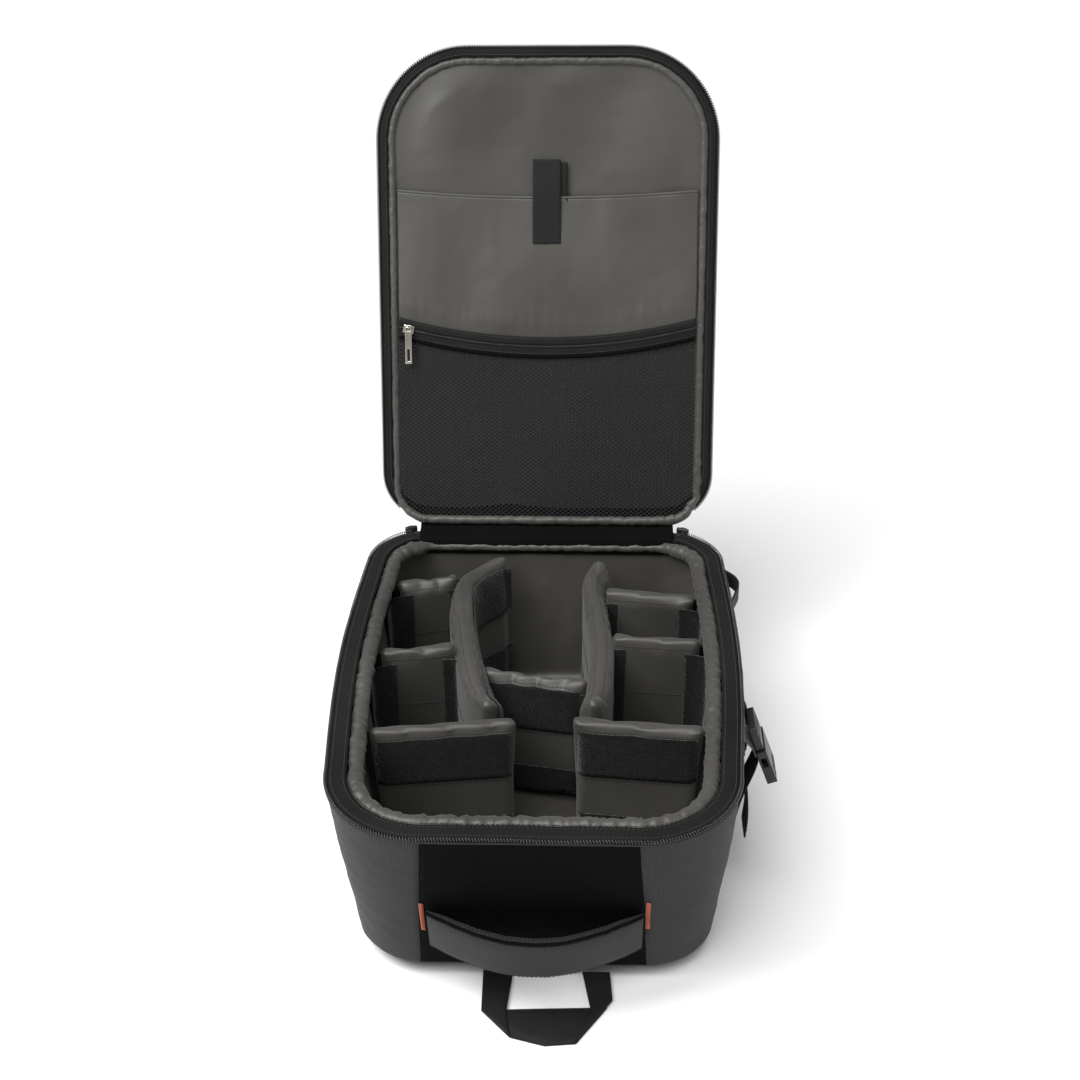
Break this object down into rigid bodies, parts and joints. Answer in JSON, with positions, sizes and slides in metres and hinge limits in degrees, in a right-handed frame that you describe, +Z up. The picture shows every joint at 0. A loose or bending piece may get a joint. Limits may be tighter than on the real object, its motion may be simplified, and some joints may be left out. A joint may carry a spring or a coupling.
{
  "type": "drone carrying case",
  "caption": "Padded backpack-style case for a drone, lying on its back with its zipped lid open, with lift-out padded dividers, lid pockets, carry handle, grab loop and side strap.",
  "frame": {"origin": "middle of the resting face of the spine pad, on the surface that the case lies on", "axes": "+Z up from the back panel to the rim, +Y from the carry handle end to the lid hinge, +X to the right seen from the handle end"},
  "size_m": [0.3517, 0.6114, 0.5764],
  "materials": {
    "ribbed_fabric": "coated ribbed polyester",
    "dark_fabric": "matt black polyester",
    "satin_lining": "soft satin nylon",
    "foam": "closed cell foam",
    "webbing": "woven nylon webbing",
    "zip_tape": "woven polyester zip tape",
    "zip_coil": "nylon coil",
    "air_mesh": "spacer mesh",
    "buckle_plastic": "moulded acetal",
    "silver_metal": "nickel plated zinc",
    "black_metal": "black painted zinc"
  },
  "bodies": {
    "case": {"near_panel": "dark_fabric", "far_panel": "ribbed_fabric", "side_panel_left": "ribbed_fabric", "side_panel_right": "ribbed_fabric", "near_foam": "foam", "far_foam": "foam", "side_foam_left": "foam", "side_foam_right": "foam", "base_foam": "foam", "back_panel": "dark_fabric", "case_lining": "satin_lining", "rim_roll": "satin_lining", "case_zip_tape": "zip_tape", "case_zip_coil": "zip_coil", "hinge_fabric_case": "dark_fabric", "spine_pad": "air_mesh", "shoulder_strap_left": "air_mesh", "shoulder_strap_right": "air_mesh", "strap_adjuster_left": "buckle_plastic", "strap_adjuster_right": "buckle_plastic", "strap_webbing_left": "webbing", "strap_webbing_right": "webbing", "side_pocket": "ribbed_fabric", "pocket_elastic": "dark_fabric", "side_web_loop": "webbing", "upper_web": "webbing", "lower_web": "webbing", "web_tail": "webbing", "buckle_plug": "buckle_plastic"},
    "carry_handle": {"carry_handle_grip": "ribbed_fabric", "carry_handle_mesh": "air_mesh"},
    "grab_loop": {"grab_loop": "webbing"},
    "buckle_socket": {"buckle_socket": "buckle_plastic"},
    "lid": {"lid_shell": "ribbed_fabric", "lid_foam": "foam", "lid_lining": "satin_lining", "lid_binding": "satin_lining", "lid_zip_tape": "zip_tape", "lid_zip_coil": "zip_coil", "hinge_fabric_lid": "dark_fabric", "mesh_pocket": "air_mesh", "slip_pocket": "satin_lining", "mesh_zip_tape": "zip_tape"},
    "pocket_strap": {"pocket_strap": "webbing"},
    "mesh_zip_slider": {"mesh_zip_slider": "silver_metal"},
    "mesh_zip_pull": {"mesh_zip_pull": "silver_metal"},
    "zip_slider_left": {"zip_slider_left": "black_metal"},
    "zip_pull_left": {"zip_pull_left": "black_metal"},
    "zip_slider_right": {"zip_slider_right": "black_metal"},
    "zip_pull_right": {"zip_pull_right": "black_metal"},
    "divider_long_left": {"divider_long_left": "satin_lining"},
    "divider_long_right": {"divider_long_right": "satin_lining"},
    "divider_near_left": {"divider_near_left": "satin_lining"},
    "divider_mid_left": {"divider_mid_left": "satin_lining"},
    "divider_far_left": {"divider_far_left": "satin_lining"},
    "divider_near_right": {"divider_near_right": "satin_lining"},
    "divider_mid_right": {"divider_mid_right": "satin_lining"},
    "divider_far_right": {"divider_far_right": "satin_lining"},
    "divider_centre": {"divider_centre": "satin_lining"}
  },
  "joints": [
    {"name": "lid_hinge", "type": "hinge", "parent": "case", "child": "lid", "pos_m": [0, 0.213, 0.172], "axis": [-1, 0, 0], "range_deg": [-108.8, 85]},
    {"name": "carry_handle_tilt", "type": "hinge", "parent": "case", "child": "carry_handle", "pos_m": [0, -0.18924, 0.072], "axis": [-1, 0, 0], "range_deg": [-9, 9]},
    {"name": "grab_loop_lift", "type": "hinge", "parent": "case", "child": "grab_loop", "pos_m": [0.0095, -0.175, 0.0018], "axis": [-1, 0, 0], "range_deg": [0, 40]},
    {"name": "buckle_release", "type": "slide", "parent": "case", "child": "buckle_socket", "axis": [0.3486, 0, -0.9373], "range_m": [0, 0.022]},
    {"name": "pocket_strap_flip", "type": "hinge", "parent": "lid", "child": "pocket_strap", "pos_m": [0, 0.32168, 0.48255], "axis": [-1, 0, 0], "range_deg": [0, 165]},
    {"name": "mesh_zip_run", "type": "hinge", "parent": "lid", "child": "mesh_zip_slider", "pos_m": [0, 0.43657, 0.82377], "axis": [0, -0.9466, 0.3223], "range_deg": [0, 27.7]},
    {"name": "mesh_zip_pull_swing", "type": "hinge", "parent": "mesh_zip_slider", "child": "mesh_zip_pull", "pos_m": [-0.1251, 0.2712, 0.34729], "axis": [-1, 0, 0], "range_deg": [0, 150]},
    {"name": "zip_run_left", "type": "hinge", "parent": "case", "child": "zip_slider_left", "pos_m": [-0.103, 0.1585, 0.17], "axis": [0, 0, 1], "range_deg": [0, 60]},
    {"name": "zip_pull_left_swing", "type": "hinge", "parent": "zip_slider_left", "child": "zip_pull_left", "pos_m": [-0.12646, 0.21513, 0.1691], "axis": [0.9239, 0.3827, 0], "range_deg": [0, 115]},
    {"name": "zip_run_right", "type": "hinge", "parent": "case", "child": "zip_slider_right", "pos_m": [0.103, 0.1585, 0.17], "axis": [0, 0, -1], "range_deg": [0, 60]},
    {"name": "zip_pull_right_swing", "type": "hinge", "parent": "zip_slider_right", "child": "zip_pull_right", "pos_m": [0.12646, 0.21513, 0.1691], "axis": [0.9239, -0.3827, 0], "range_deg": [0, 115]},
    {"name": "divider_long_left_lift", "type": "slide", "parent": "case", "child": "divider_long_left", "axis": [0, 0, 1], "range_m": [0, 0.15]},
    {"name": "divider_long_right_lift", "type": "slide", "parent": "case", "child": "divider_long_right", "axis": [0, 0, 1], "range_m": [0, 0.15]},
    {"name": "divider_near_left_lift", "type": "slide", "parent": "case", "child": "divider_near_left", "axis": [0, 0, 1], "range_m": [0, 0.15]},
    {"name": "divider_mid_left_lift", "type": "slide", "parent": "case", "child": "divider_mid_left", "axis": [0, 0, 1], "range_m": [0, 0.15]},
    {"name": "divider_far_left_lift", "type": "slide", "parent": "case", "child": "divider_far_left", "axis": [0, 0, 1], "range_m": [0, 0.15]},
    {"name": "divider_near_right_lift", "type": "slide", "parent": "case", "child": "divider_near_right", "axis": [0, 0, 1], "range_m": [0, 0.15]},
    {"name": "divider_mid_right_lift", "type": "slide", "parent": "case", "child": "divider_mid_right", "axis": [0, 0, 1], "range_m": [0, 0.15]},
    {"name": "divider_far_right_lift", "type": "slide", "parent": "case", "child": "divider_far_right", "axis": [0, 0, 1], "range_m": [0, 0.15]},
    {"name": "divider_centre_lift", "type": "slide", "parent": "case", "child": "divider_centre", "axis": [0, 0, 1], "range_m": [0, 0.15]}
  ]
}
